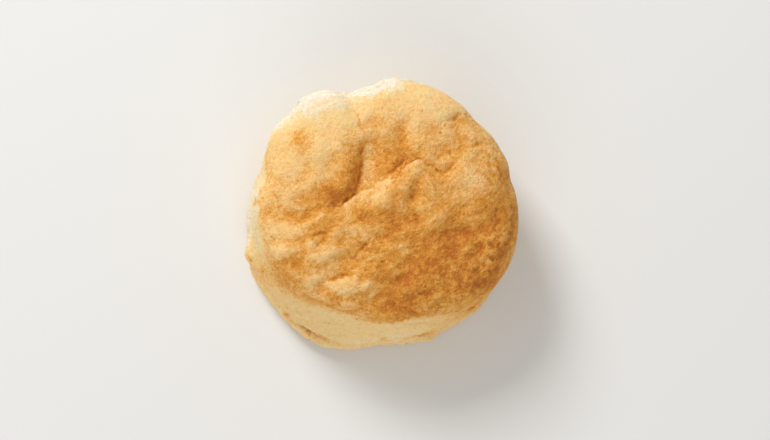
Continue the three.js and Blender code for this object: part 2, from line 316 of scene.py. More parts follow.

# Pits (deep and painted darker, as shade in them) and paler or browner places of the side: the middle
# of each, its radius and depth in millimetres and how much browner or darker it is
SIDE_SPOTS = [
    # Left, where thin pale layers show under the crust
    {"at": (-40.5, 4.2, 27.2), "radius": 1.1, "depth": 1.0, "change": 0.8},
    {"at": (-41.1, 3.3, 25.4), "radius": 0.9, "depth": 0.8, "change": 0.5},
    {"at": (-43.9, -13.9, 11), "radius": 0.8, "depth": 0.4, "change": 0.35},
    {"at": (-43, -15.3, 11), "radius": 0.8, "depth": 0.4, "change": 0.35},
    {"at": (-43.4, 2, 9.5), "radius": 4.5, "depth": 0.0, "change": -0.13},
    {"at": (-43.8, -6, 10), "radius": 4.5, "depth": 0.0, "change": -0.12},
    {"at": (-41, 10, 17), "radius": 3.5, "depth": 0.0, "change": -0.12},
    # Front, along the lowest crack, with pits painted darker as shade in them
    {"at": (-31.4, -33.7, 6.7), "radius": 1.2, "depth": 0.9, "change": 0.35},
    {"at": (-29.6, -35.6, 6.4), "radius": 0.9, "depth": 0.5, "change": 0.25},
    {"at": (-23.9, -38.8, 7.2), "radius": 1.0, "depth": 0.8, "change": 0.4},
    {"at": (-21.5, -41.5, 5.5), "radius": 3, "depth": 0.0, "change": 0.22},
    {"at": (-9.5, -43, 8), "radius": 4, "depth": 0.0, "change": -0.07},
    # Front, small pits above the crack, painted darker as shade in them
    {"at": (-26.6, -32.3, 15.2), "radius": 0.7, "depth": 0.3, "change": 0.22},
    {"at": (-23.1, -31.7, 19.7), "radius": 0.8, "depth": 0.3, "change": 0.22},
    {"at": (-12.2, -35.6, 21.8), "radius": 0.7, "depth": 0.3, "change": 0.22},
    {"at": (-31, -30.8, 12), "radius": 0.8, "depth": 0.3, "change": 0.22},
    # Front, right of the crack
    {"at": (-3, -41.5, 11), "radius": 5, "depth": 0.0, "change": -0.07},
    {"at": (4.8, -40.6, 12.5), "radius": 5, "depth": 0.0, "change": -0.08},
    {"at": (1.3, -41.2, 12), "radius": 1.0, "depth": 0.6, "change": 0.35},
    {"at": (7, -38.6, 19), "radius": 6, "depth": 0.0, "change": -0.08},
    {"at": (14.5, -38, 17), "radius": 5, "depth": 0.0, "change": -0.1},
    {"at": (16, -40, 9.5), "radius": 4, "depth": 0.0, "change": 0.2},
    # Front right
    {"at": (31.1, -30.7, 12.4), "radius": 1.4, "depth": 0.5, "change": 0.35},
    {"at": (33.3, -27, 23.4), "radius": 1.3, "depth": 0.5, "change": 0.35},
    {"at": (35.1, -24.3, 27.1), "radius": 1.0, "depth": 0.4, "change": 0.25},
]

# Where the side is smooth instead of flaky, and how much of its flakiness goes
SMOOTH_SIDES = [
    {"at": 230, "spread": 50, "amount": -0.92},
    {"at": 325, "spread": 25, "amount": -0.8},
]

# Grain on the side is taller than wide, so heights count less when it is made
UPRIGHT = np.array([1.0, 1.0, 0.75])

# How much browner a crack is for each millimetre of its depth, as painted shade in it with some real
# browning
CRACK_BROWNING_AND_SHADE = 0.22

# Cracks between layers of the side: the angles where each starts and ends,
# its height, depth and half width in millimetres
CRACKS = [
    {"start": 262, "end": 300, "height": 10.5, "depth": 0.7, "width": 0.45},
    {"start": 150, "end": 200, "height": 12.5, "depth": 1.0, "width": 0.5},
    {"start": 60, "end": 145, "height": 11.0, "depth": 1.2, "width": 0.55},
    {"start": 40, "end": 120, "height": 17.5, "depth": 1.2, "width": 0.55},
    {"start": -20, "end": 62, "height": 9.8, "depth": 1.1, "width": 0.5},
    {"start": -45, "end": 20, "height": 16.2, "depth": 1.0, "width": 0.5},
    {"start": 90, "end": 135, "height": 22.8, "depth": 0.9, "width": 0.5},
]

# Fractal noise: how much weaker and how much finer each octave is than the one before
OCTAVE_FADE = 1.0
OCTAVE_STEP = 2.0

# Unevenness: how much there is of it, the size of its features in metres, where in the noise
# it lies and how many octaves it has
CRACK_WAVER = {"amount": 0.0016, "size": 0.008, "shift": 23.0, "octaves": 3}
CRACK_JITTER = {"amount": 0.0006, "size": 0.0022, "shift": 24.0, "octaves": 2}
CRACK_BREAKS = {"amount": 1.1, "size": 0.003, "shift": 31.0, "octaves": 2}
CREASE_BREAKS = {"amount": 0.7, "size": 0.0035, "shift": 31.0, "octaves": 2}
BORDER_WAVER = {"amount": 0.0018, "size": 0.007, "shift": 11.0, "octaves": 2}
BORDER_JITTER = {"amount": 0.0014, "size": 0.002, "shift": 12.0, "octaves": 2}

# How deep broken cracks and creases are on average, as a share of their depth
CRACK_SHARE = 0.7
CREASE_SHARE = 0.65

# Uneven edges: how far they wander, over what distance, in metres, and where in the noise it lies
CREASE_WARP = {"reach": 0.0007, "size": 0.0018, "shift": 29.0}
LAYER_WARP = {"reach": 0.003, "size": 0.009, "shift": 5.0}
PATCH_WARP = {"reach": 0.0018, "size": 0.009, "shift": 37.0}
PATCH_JITTER = {"reach": 0.0012, "size": 0.002, "shift": 41.0}
SPOT_WARP = {"reach": 0.0006, "size": 0.0014, "shift": 47.0}

# Where in the noise each kind of relief lies
LUMP_SHIFT = 43.0
GRAIN_SHIFT = 3.0
LAYER_SHIFT = 7.0
CRUMB_SHIFT = 17.0

# How rough the top is: less in its far half than in its near half, more by the right rim and
# little where it is steep, each with the places in metres, or the slopes, over which it changes
NEAR_ROUGHNESS = 1.25
FAR_SMOOTHING = 0.65
FAR_SPAN = (-0.008, 0.012)
RIM_ROUGHENING = 0.4
RIM_SPAN = (0.028, 0.038)
STEEP_SHARE = 0.3
STEEP_SPAN = (0.3, 0.8)

# How far to the near right the grain's lean fades out, in metres
EVEN_SPAN = (0.02, 0.05)

# Heights in metres over which the relief comes in and the base's browning goes
RELIEF_SPAN = (0.0003, 0.003)
BASE_SPAN = (0.0005, 0.005)

# Hollows painted browner, as painted shade in them with some real browning: how many rounds of
# smoothing level them and how deep, in metres, those are that count in full
FINE_HOLLOW = {"rounds": 6, "depth": 0.00006}
BROAD_HOLLOW = {"rounds": 60, "depth": 0.0004}

# Vertices of the solid closer than this are one
MERGE_DISTANCE = 1e-6

# Mottling of the crust: the size of each kind in metres and where in the noise it lies
MOTTLES = {
    "cloud": {"Size": 0.008, "Shift": 1.0},
    "blotch": {"Size": 0.003, "Shift": 2.0},
    "speckle": {"Size": 0.0011, "Shift": 3.0},
    "grain": {"Size": 0.00045, "Shift": 4.0},
}

# Detail and roughness of that noise, and the part of its range that is used
MOTTLE_DETAIL = 3.0
MOTTLE_ROUGHNESS = 0.55
MOTTLE_SPAN = (0.25, 0.75)

# Pores: the distance in metres between their places, and the share of those that have one
WIDE_PORES = {"Size": 0.0024, "Share": 0.42}
FINE_PORES = {"Size": 0.0013, "Share": 0.6}
PINHOLES = {"Size": 0.0021, "Share": 0.26}

# Where a pore's edge lies, as a share of that distance, and how much narrower pores are:
# the widest, and what the narrowest have more
PORE_EDGE = (0.1, 0.3)
PORE_NARROWING = 0.9
PORE_VARIETY = 1.3

# Strength of fine pores and pinholes beside wide pores, and of pores in the crust and in the side
FINE_PORE_STRENGTH = 0.7
PINHOLE_STRENGTH = 0.7
CRUST_PORE_STRENGTH = 0.3
SIDE_PORE_STRENGTH = 1.0

# How much browner hollows (painted shade in them, with some real browning) and mottling make the crust,
# and how much less of that the side has
CRUST_BROWNINGS_AND_SHADE = {"broad_hollow": 0.14, "fine_hollow": 0.06, "cloud": 0.04, "blotch": 0.03}
SIDE_CALM = 0.6

# How much browner specks make the dough, and how much darker pores are, as painted shade in them
SPECK_BROWNINGS = {"speckle": 0.075, "grain": 0.1}
PORE_SHADE = 0.26

# The share of its specks that pale dough shows, and the browning over which the rest comes in
PALE_SHARE = 0.35
PALE_SPAN = (0.1, 0.5)

# How much darker specks make the dough, besides browner
SPECK_SHADES = {"speckle": -0.03, "grain": -0.04}

# Relief too fine for the mesh, in metres
FINE_HEIGHTS = {"speckle": 0.00011, "grain": 0.00006, "pore": -0.0003}

# How far red, green and blue light scatter in the dough, beside the glow's depth
GLOW_TINT = (1.0, 0.4, 0.12)

# The stage: roughness of the floor, colour of the even light around,
# and how near to the camera things are still seen, in metres
FLOOR_ROUGHNESS = 0.7
SKY_COLOUR = (1.0, 0.97, 0.92)
NEAREST_SEEN = 0.01


class BiscuitCrustSettings(bpy.types.PropertyGroup):
    """Sizes of the crust's and the side's fine relief."""

    refinement: IntProperty(
        name="Refinement", description="Levels of smooth subdivision over the solid",
        default=2, min=0, max=2)
    lump_depth: FloatProperty(
        name="Lump depth", description="Height of the crust's rounded lumps",
        default=0.0003, unit="LENGTH", precision=5)
    lump_size: FloatProperty(
        name="Lump size", description="Distance across one lump",
        default=0.0065, unit="LENGTH", precision=5)
    grain_depth: FloatProperty(
        name="Grain depth", description="Height of the crust's uneven grain",
        default=0.00042, unit="LENGTH", precision=5)
    grain_size: FloatProperty(
        name="Grain size", description="Distance across the largest lumps of the grain",
        default=0.0042, unit="LENGTH", precision=5)
    grain_stretch: FloatProperty(
        name="Grain stretch", description="How much longer than wide the grain is", default=1.6)
    grain_lean: FloatProperty(
        name="Grain lean", description="Direction that the grain runs in, from +X",
        default=math.radians(22), subtype="ANGLE")
    speckle_stretch: FloatProperty(
        name="Speckle stretch", description="How much longer than wide the speckles are", default=1.2)
    layer_depth: FloatProperty(
        name="Layer depth", description="How far the layers of the side stand in and out",
        default=0.0006, unit="LENGTH", precision=5)
    layer_height: FloatProperty(
        name="Layer height", description="Height of one thin layer of the side",
        default=0.0021, unit="LENGTH", precision=5)
    layer_length: FloatProperty(
        name="Layer length", description="Distance along the side before a layer changes",
        default=0.012, unit="LENGTH", precision=5)
    crumb_depth: FloatProperty(
        name="Crumb depth", description="Height of the side's crumbs",
        default=0.0003, unit="LENGTH", precision=5)
    crumb_size: FloatProperty(
        name="Crumb size", description="Distance across one crumb",
        default=0.0026, unit="LENGTH", precision=5)


class BiscuitColourSettings(bpy.types.PropertyGroup):
    """Colours of the baked dough, from palest to darkest."""

    pale: FloatVectorProperty(
        name="Pale dough", description="Dough that the heat hardly coloured",
        default=(0.82, 0.75, 0.62), size=3, subtype="COLOR", min=0, max=1)
    tan: FloatVectorProperty(
        name="Tan side", description="Most of the side",
        default=(0.85, 0.612, 0.285), size=3, subtype="COLOR", min=0, max=1)
    golden: FloatVectorProperty(
        name="Golden crust", description="The lighter parts of the top",
        default=(0.86, 0.54, 0.215), size=3, subtype="COLOR", min=0, max=1)
    brown: FloatVectorProperty(
        name="Brown crust", description="Most of the top",
        default=(0.735, 0.332, 0.056), size=3, subtype="COLOR", min=0, max=1)
    dark: FloatVectorProperty(
        name="Dark crust", description="The darkest parts of the top",
        default=(0.52, 0.165, 0.026), size=3, subtype="COLOR", min=0, max=1)
    top_browning: FloatProperty(
        name="Top browning", description="How brown the top is, from pale (0) to dark (1)",
        default=0.70, min=0, max=1)
    side_browning: FloatProperty(
        name="Side browning", description="How brown the side is", default=0.33, min=0, max=1)
    base_browning: FloatProperty(
        name="Base browning", description="How brown the base and its edge are",
        default=0.62, min=0, max=1)
    roughness: FloatProperty(
        name="Roughness", description="Roughness of the crust", default=0.62, min=0, max=1)
    shine: FloatProperty(
        name="Shine", description="Strength of the crust's reflections", default=0.08, min=0, max=1)
    glow: FloatProperty(
        name="Glow", description="Share of the light that scatters under the surface",
        default=0.35, min=0, max=1)
    glow_depth: FloatProperty(
        name="Glow depth", description="How far light scatters under the surface",
        default=0.0014, unit="LENGTH", precision=5)


class BiscuitStageSettings(bpy.types.PropertyGroup):
    """The camera, the lights and the floor."""

    camera_place: FloatVectorProperty(
        name="Camera", description="Where the camera is, looking straight down",
        default=(0.0019, -0.0015, 0.7), size=3, subtype="TRANSLATION", unit="LENGTH")
    focal_length: FloatProperty(
        name="Focal length", description="Focal length in millimetres", default=96.7)
    key_place: FloatVectorProperty(
        name="Key light", description="Where the soft key light is",
        default=(-0.56, 1.02, 0.86), size=3, subtype="TRANSLATION", unit="LENGTH")
    key_size: FloatProperty(
        name="Key size", description="Width of the key light", default=0.5, unit="LENGTH")
    key_power: FloatProperty(
        name="Key power", description="Power of the key light", default=15.5, unit="POWER")
    fill_place: FloatVectorProperty(
        name="Fill light", description="Where the wide fill light is",
        default=(-0.15, -1.1, 0.5), size=3, subtype="TRANSLATION", unit="LENGTH")
    fill_size: FloatProperty(
        name="Fill size", description="Width of the fill light", default=1.2, unit="LENGTH")
    fill_power: FloatProperty(
        name="Fill power", description="Power of the fill light", default=5.5, unit="POWER")
    sky_strength: FloatProperty(
        name="Sky strength", description="Strength of the even light around", default=0.48, min=0)
    floor_colour: FloatVectorProperty(
        name="Floor", description="Colour of the floor",
        default=(0.80, 0.80, 0.79), size=3, subtype="COLOR", min=0, max=1)
    floor_size: FloatProperty(
        name="Floor size", description="Width of the floor", default=4.0, unit="LENGTH")


# Helpers for shapes

def bell(offset, width):
    """1 at the middle, small past one width."""
    return np.exp(-((offset / width) ** 2))


def ease(values, low, high):
    """0 below low, 1 above high, smooth between."""
    share = np.clip((values - low) / (high - low), 0.0, 1.0)
    return share * share * (3.0 - 2.0 * share)


def turn(angles, at):
    """Differences of angles from at, in degrees, from -180 to 180."""
    return (angles - at + 180.0) % 360.0 - 180.0


def noise_field(points, size, shift, octaves):
    """Repeatable noise from about -1 to 1, with features of that size (one number or three)."""
    places = points / size + shift
    return np.array([
        noise.fractal(place, OCTAVE_FADE, OCTAVE_STEP, octaves) for place in places.tolist()])


def uneven(points, amount, size, shift, octaves):
    """Repeatable noise of up to about that amount."""
    return amount * noise_field(points, size, shift, octaves)


def warped(points, reach, size, shift):
    """Points moved about by noise, so that what is drawn at them has uneven edges."""
    places = (points / size + shift).tolist()
    return points + reach * np.array([noise.noise_vector(place) for place in places])


def path_points(path, spacing):
    """Points along a smooth curve through the path, about spacing apart."""
    knots = np.array(path, float)
    ends = (2 * knots[0] - knots[1], 2 * knots[-1] - knots[-2])
    knots = np.vstack([ends[0], knots, ends[1]])
    points = []
    for before, start, end, after in zip(knots, knots[1:], knots[2:], knots[3:]):
        count = max(2, int(np.linalg.norm(end - start) / spacing))
        for share in np.linspace(0, 1, count, endpoint=False):
            points.append(0.5 * (
                2 * start + (end - before) * share
                + (2 * before - 5 * start + 4 * end - after) * share ** 2
                + (3 * start - before - 3 * end + after) * share ** 3))
    return np.array(points)


def beside_path(points, path, spacing, reach):
    """Which points are near a path seen from above, how far off it, if on its right, and its taper."""
    route = path_points(path, spacing) * MM
    flat = points[:, :2]
    near = np.all((flat > route.min(0) - reach) & (flat < route.max(0) + reach), axis=1)
    offsets = flat[near, None] - route[None]
    gaps = np.linalg.norm(offsets, axis=2)
    closest = np.argmin(gaps, axis=1)
    ahead = np.gradient(route, axis=0)[closest]
    offset = offsets[np.arange(len(closest)), closest]
    on_right = offset[:, 0] * ahead[:, 1] > offset[:, 1] * ahead[:, 0]
    taper = np.sqrt(np.abs(np.sin(np.pi * closest / (len(route) - 1))))
    return near, gaps.min(axis=1), on_right, taper


def crease_height(points, crease):
    """Height of a thin crease and its lip at points seen from above, in metres."""
    width = crease["width"] * MM
    near, gap, on_right, taper = beside_path(
        points, crease["path"], crease["width"] / 2, CREASE_REACH * width)
    lip = np.where(on_right, crease["lip"] * bell(gap - LIP_OFFSET * width, LIP_WIDTH * width), 0.0)
    height = np.zeros(len(points))
    height[near] = MM * taper * (lip - crease["depth"] * bell(gap, width))
    return height


def slope_browning_and_shade(points, slope):
    """How much browner a slope is at points seen from above, painted shade included, up to a sharp edge
    at its foot.
    """
    width = slope["width"]
    near, gap, on_right, taper = beside_path(points, slope["path"], width / 4, SLOPE_REACH * width * MM)
    change = np.zeros(len(points))
    change[near] = slope["change"] * taper * bell(gap / MM, np.where(on_right, width, SLOPE_EDGE))
    return change


def crack_depth(points, crack, waver):
    """Depth of a crack that runs around the side, in metres."""
    half = (crack["end"] - crack["start"]) / 2
    gap = turn(around(points), crack["start"] + half)
    taper = np.sqrt(np.clip(1.0 - (gap / half) ** 2, 0.0, 1.0))
    level = points[:, 2] - crack["height"] * MM - waver
    return crack["depth"] * MM * taper * bell(level, crack["width"] * MM)


def crack_depths(points):
    """Depth of all cracks in the side, which waver and break off, in metres."""
    flat = points * np.array([1.0, 1.0, 0.0])
    waver = uneven(flat, **CRACK_WAVER) + uneven(flat, **CRACK_JITTER)
    broken = np.clip(CRACK_SHARE + uneven(points, **CRACK_BREAKS), 0.0, None)
    return broken * sum(crack_depth(points, crack, waver) for crack in CRACKS)


def distances(points, place):
    """Distances in millimetres from a place, as seen from above if it has no height."""
    return np.linalg.norm(points[:, :len(place)] / MM - np.array(place), axis=1)


def lobed(angles, base, lobes):
    """A value around the biscuit: base plus bells at given angles."""
    bells = (lobe["amount"] * bell(turn(angles, lobe["at"]), lobe["spread"]) for lobe in lobes)
    return base + sum(bells)


# The biscuit's mesh

def refined_mesh(node, levels):
    """A copy of the solid's mesh with its triangles paired into quads and smoothly subdivided."""
    work = bmesh.new()
    work.from_mesh(node.data)
    bmesh.ops.remove_doubles(work, verts=work.verts, dist=MERGE_DISTANCE)
    bmesh.ops.join_triangles(
        work, faces=work.faces, angle_face_threshold=math.pi, angle_shape_threshold=math.pi)
    coarse = bpy.data.meshes.new("coarse_biscuit")
    work.to_mesh(coarse)
    work.free()
    holder = bpy.data.objects.new("coarse_biscuit", coarse)
    bpy.context.scene.collection.objects.link(holder)
    smoother = holder.modifiers.new("smooth", "SUBSURF")
    smoother.levels = levels
    graph = bpy.context.evaluated_depsgraph_get()
    fine = bpy.data.meshes.new_from_object(holder.evaluated_get(graph))
    bpy.data.objects.remove(holder)
    bpy.data.meshes.remove(coarse)
    fine.name = "baked_biscuit"
    fine.materials.clear()
    return fine


def mesh_points(mesh):
    """Vertex places as an array."""
    flat = np.empty(len(mesh.vertices) * 3)
    mesh.vertices.foreach_get("co", flat)
    return flat.reshape(-1, 3)


def mesh_normals(mesh):
    """Vertex normals as an array."""
    flat = np.empty(len(mesh.vertices) * 3)
    mesh.vertex_normals.foreach_get("vector", flat)
    return flat.reshape(-1, 3)


def mesh_edges(mesh):
    """Vertex pairs of the edges as an array."""
    flat = np.empty(len(mesh.edges) * 2, np.int64)
    mesh.edges.foreach_get("vertices", flat)
    return flat.reshape(-1, 2)


def smoothed(values, edges, rounds):
    """Values averaged with their neighbours' for some rounds."""
    count = len(values)
    ends = np.concatenate([edges[:, 0], edges[:, 1]])
    others = np.concatenate([edges[:, 1], edges[:, 0]])
    share = np.bincount(ends, minlength=count)
    for _ in range(rounds):
        sums = [np.bincount(ends, weights=column[others], minlength=count) for column in values.T]
        values = 0.5 * (values + np.column_stack(sums) / share[:, None])
    return values


def hollows(points, normals, edges, rounds, depth):
    """How far each point lies below its smoothed surroundings: 1 at that depth, -1 on a rise."""
    below = np.einsum("ij,ij->i", smoothed(points, edges, rounds) - points, normals)
    return np.clip(below / depth, -1.0, 1.0)


def place_mesh(mesh, points):
    """Moves the mesh's vertices to the points."""
    mesh.vertices.foreach_set("co", points.ravel())
    mesh.update()


def store(mesh, name, values):
    """Keeps one number a vertex on the mesh, for the material to read."""
    layer = mesh.attributes.new(name, "FLOAT", "POINT")
    layer.data.foreach_set("value", values.astype(np.float32))


def around(points):
    """Angle of each point around the biscuit, in degrees from +X."""
    return np.degrees(np.arctan2(points[:, 1], points[:, 0])) % 360.0


def side_mask(points, softness=0.0):
    """1 on the side under the crust, 0 on the crust, with a ragged edge between."""
    angles = around(points)
    edge = lobed(angles, BORDER_HEIGHT, BORDER_CLIMBS) * MM
    fade = lobed(angles, BORDER_FADE, BORDER_FADES) * MM + softness
    ragged = uneven(points, **BORDER_WAVER) + uneven(points, **BORDER_JITTER)
    return 1.0 - ease(points[:, 2] + ragged, edge - fade, edge + fade)


def crease_relief(points):
    """Height of all creases and their lips, which break off here and there."""
    moved = warped(points, **CREASE_WARP)
    broken = CREASE_SHARE + uneven(points, **CREASE_BREAKS)
    return broken * sum(crease_height(moved, crease) for crease in CREASES)


def crust_relief(points, upward, crust):
    """Height of the top's lumps, grain and swells, from how much each point faces upward."""
    lean = (math.cos(crust.grain_lean), math.sin(crust.grain_lean))
    along = points[:, 0] * lean[0] + points[:, 1] * lean[1]
    across = points[:, 1] * lean[0] - points[:, 0] * lean[1]
    turned = np.column_stack([along / crust.grain_stretch, across, points[:, 2]])
    rough = NEAR_ROUGHNESS - FAR_SMOOTHING * ease(points[:, 1], *FAR_SPAN)
    rough += RIM_ROUGHENING * ease(points[:, 0], *RIM_SPAN)
    rough *= STEEP_SHARE + (1.0 - STEEP_SHARE) * ease(upward, *STEEP_SPAN)
    lumps = np.abs(noise_field(turned, crust.lump_size, LUMP_SHIFT, octaves=2))
    leaning = noise_field(turned, crust.grain_size, GRAIN_SHIFT, octaves=3)
    even = noise_field(points, crust.grain_size, GRAIN_SHIFT, octaves=3)
    grain = leaning + (even - leaning) * ease(points[:, 0] - points[:, 1], *EVEN_SPAN)
    height = rough * (crust.lump_depth * lumps + crust.grain_depth * grain)
    for swell in SWELLS:
        height += swell["rise"] * MM * bell(distances(points, swell["at"]), swell["radius"])
    return height


def side_relief(points, crust):
    """How far layers, cracks and crumbs stand out of the side."""
    flaky = lobed(around(points), 1.0, SMOOTH_SIDES)
    box = np.array([crust.layer_length, crust.layer_length, crust.layer_height])
    layers = noise_field(warped(points, **LAYER_WARP), box, LAYER_SHIFT, octaves=3)
    crumbs = noise_field(points * UPRIGHT, crust.crumb_size, CRUMB_SHIFT, octaves=3)
    out = flaky * crust.layer_depth * layers + crust.crumb_depth * crumbs
    out -= crack_depths(points)
    for spot in SIDE_SPOTS:
        out -= spot["depth"] * MM * bell(distances(points, spot["at"]), spot["radius"])
    return out


def browning_and_shade_map(points, side, colours):
    """How brown each point is, from 0 to 1, with painted light and shade in some patches and painted
    shade on slopes, in pits and in cracks.
    """
    top = np.full(len(points), colours.top_browning)
    moved = warped(warped(points, **PATCH_WARP), **PATCH_JITTER)
    # Patches of baked tone, partly painted light and shade
    for patch in TOASTED_AND_SHADED:
        top += patch["change"] * bell(distances(moved, patch["at"]), patch["radius"])
    ragged = warped(points, **SPOT_WARP)
    # Painted shade, with some real browning, on slopes that face away from the light
    for slope in SHADED_SLOPES:
        top += slope_browning_and_shade(ragged, slope)
    kept = FOOT_TAN + (1.0 - FOOT_TAN) * ease(points[:, 2], *FOOT_SPAN)
    wall = colours.side_browning + kept * lobed(around(moved), 0.0, SIDE_TANS)
    # Pits painted darker as shade in them, and paler or browner places of the side
    for spot in SIDE_SPOTS:
        wall += spot["change"] * bell(distances(ragged, spot["at"]), spot["radius"])
    # Cracks painted browner by depth: painted shade in them, with some real browning
    wall += CRACK_BROWNING_AND_SHADE * crack_depths(points) / MM
    browning_and_shade = top + (wall - top) * side
    base = 1.0 - ease(points[:, 2], *BASE_SPAN)
    return browning_and_shade + (colours.base_browning - browning_and_shade) * base


def make_biscuit_mesh(node, crust, colours):
    """The refined biscuit with its fine relief, and the masks that colour it."""
    noise.seed_set(NOISE_SEED)
    mesh = refined_mesh(node, crust.refinement)
    points = mesh_points(mesh)
    normals = mesh_normals(mesh)
    below = side_mask(points, RELIEF_SOFTNESS)
    creases = crease_relief(points)
    height = creases + below * side_relief(points, crust)
    height += (1.0 - below) * crust_relief(points, normals[:, 2], crust)
    height *= ease(points[:, 2], *RELIEF_SPAN)
    moved = points + normals * height[:, None]
    moved[:, 2] = np.maximum(moved[:, 2], 0.0)
    place_mesh(mesh, moved)
    mesh.shade_smooth()

    normals = mesh_normals(mesh)
    edges = mesh_edges(mesh)
    side = side_mask(points)
    # Browning with painted shade in creases, cracks, pits and on slopes
    browning_and_shade = browning_and_shade_map(points, side, colours)
    # Creases painted browner by depth: painted shade in them, with some real browning
    browning_and_shade += CREASE_BROWNING_AND_SHADE * np.maximum(-creases, 0.0) / MM
    store(mesh, "side", side)
    store(mesh, "fine_hollow", hollows(moved, normals, edges, **FINE_HOLLOW))
    store(mesh, "broad_hollow", hollows(moved, normals, edges, **BROAD_HOLLOW))
    store(mesh, "browning_and_shade", browning_and_shade)
    return mesh


# Shader node groups

def add_node(tree, kind, **settings):
    """A new node with some of its settings."""
    node = tree.nodes.new(kind)
    for name, value in settings.items():
        setattr(node, name, value)
    return node


def feed(tree, target, source):
    """Links a socket, or sets a value, into a node's input."""
    if isinstance(source, bpy.types.NodeSocket):
        tree.links.new(source, target)
    else:
        target.default_value = source


def calculate(tree, operation, *sources):
    """A math node's result."""
    node = add_node(tree, "ShaderNodeMath", operation=operation)
    for socket, source in zip(node.inputs, sources):
        feed(tree, socket, source)
    return node.outputs[0]


def remap(tree, value, low, high, to_low=0.0, to_high=1.0, kind="SMOOTHSTEP"):
    """A map range node's result."""
    node = add_node(tree, "ShaderNodeMapRange", interpolation_type=kind)
    for socket, source in zip(node.inputs, (value, low, high, to_low, to_high)):
        feed(tree, socket, source)
    return node.outputs["Result"]


def blend(tree, factor, first, second, kind="MIX"):
    """A colour mix node's result."""
    node = add_node(tree, "ShaderNodeMix", data_type="RGBA", blend_type=kind)
    feed(tree, node.inputs["Factor"], factor)
    feed(tree, node.inputs[6], first)
    feed(tree, node.inputs[7], second)
    return node.outputs[2]


def weighed(tree, marks, weights, start=0.0):
    """The sum of some marks, each times its weight, on top of start."""
    total = start
    for name, weight in weights.items():
        total = calculate(tree, "MULTIPLY_ADD", marks[name], weight, total)
    return total


def new_group(name, inputs, outputs):
    """An empty node group with those sockets, and its input and output nodes."""
    group = bpy.data.node_groups.new(name, "ShaderNodeTree")
    for label, kind in inputs:
        group.interface.new_socket(label, in_out="INPUT", socket_type=kind)
    for label, kind in outputs:
        group.interface.new_socket(label, in_out="OUTPUT", socket_type=kind)
    return group, add_node(group, "NodeGroupInput"), add_node(group, "NodeGroupOutput")


def mottling_group():
    """Cloudy noise of a given size: a value from -1 to 1."""
    group, given, result = new_group(
        "Mottling",
        [("Vector", "NodeSocketVector"), ("Size", "NodeSocketFloat"), ("Shift", "NodeSocketFloat")],
        [("Value", "NodeSocketFloat")])
    cloud = add_node(group, "ShaderNodeTexNoise", noise_dimensions="4D")
    cloud.inputs["Detail"].default_value = MOTTLE_DETAIL
    cloud.inputs["Roughness"].default_value = MOTTLE_ROUGHNESS
    feed(group, cloud.inputs["Vector"], given.outputs["Vector"])
    feed(group, cloud.inputs["W"], given.outputs["Shift"])
    feed(group, cloud.inputs["Scale"], calculate(group, "DIVIDE", 1.0, given.outputs["Size"]))
    feed(group, result.inputs["Value"], remap(group, cloud.outputs["Fac"], *MOTTLE_SPAN, -1.0, 1.0))
    return group


def toasting_group():
    """Colour of dough from how brown it is, painted shade included, through five even steps."""
    steps = ("Pale", "Tan", "Golden", "Brown", "Dark")
    group, given, result = new_group(
        "Toasting",
        [("Browning", "NodeSocketFloat")] + [(step, "NodeSocketColor") for step in steps],
        [("Color", "NodeSocketColor")])
    colour = given.outputs[steps[0]]
    width = 1.0 / (len(steps) - 1)
    for index, step in enumerate(steps[1:]):
        start = index * width
        share = remap(group, given.outputs["Browning"], start, start + width, kind="LINEAR")
        colour = blend(group, share, colour, given.outputs[step])
    feed(group, result.inputs["Color"], colour)
    return group


def pores_group():
    """Small pores, the largest of a given size: 1 inside a pore, 0 outside."""
    group, given, result = new_group(
        "Pores",
        [("Vector", "NodeSocketVector"), ("Size", "NodeSocketFloat"), ("Share", "NodeSocketFloat")],
        [("Pore", "NodeSocketFloat")])
    cells = add_node(group, "ShaderNodeTexVoronoi", feature="F1")
    feed(group, cells.inputs["Vector"], given.outputs["Vector"])
    feed(group, cells.inputs["Scale"], calculate(group, "DIVIDE", 1.0, given.outputs["Size"]))
    apart = add_node(group, "ShaderNodeSeparateColor")
    feed(group, apart.inputs["Color"], cells.outputs["Color"])
    narrowing = calculate(
        group, "MULTIPLY_ADD", apart.outputs["Green"], PORE_VARIETY, PORE_NARROWING)
    distance = calculate(group, "MULTIPLY", cells.outputs["Distance"], narrowing)
    inside = remap(group, distance, *PORE_EDGE, 1.0, 0.0)
    chosen = calculate(group, "LESS_THAN", apart.outputs["Red"], given.outputs["Share"])
    feed(group, result.inputs["Pore"], calculate(group, "MULTIPLY", inside, chosen))
    return group


def use_group(tree, group, **inputs):
    """A group node fed with those inputs, and its outputs."""
    node = add_node(tree, "ShaderNodeGroup", node_tree=group)
    for name, source in inputs.items():
        feed(tree, node.inputs[name], source)
    return node.outputs


def attribute(tree, name):
    """The numbers stored on the mesh under that name."""
    return add_node(tree, "ShaderNodeAttribute", attribute_name=name).outputs["Fac"]


def colour4(colour):
    """A colour with full alpha."""
    return (*colour, 1.0)


def crust_place(tree, crust):
    """Places on the biscuit, turned and stretched as the speckles run."""
    stretch = add_node(tree, "ShaderNodeMapping", vector_type="TEXTURE")
    feed(tree, stretch.inputs["Vector"], add_node(tree, "ShaderNodeTexCoord").outputs["Object"])
    stretch.inputs["Rotation"].default_value = (0.0, 0.0, crust.grain_lean)
    stretch.inputs["Scale"].default_value = (crust.speckle_stretch, 1.0, 1.0 / UPRIGHT[2])
    return stretch.outputs["Vector"]


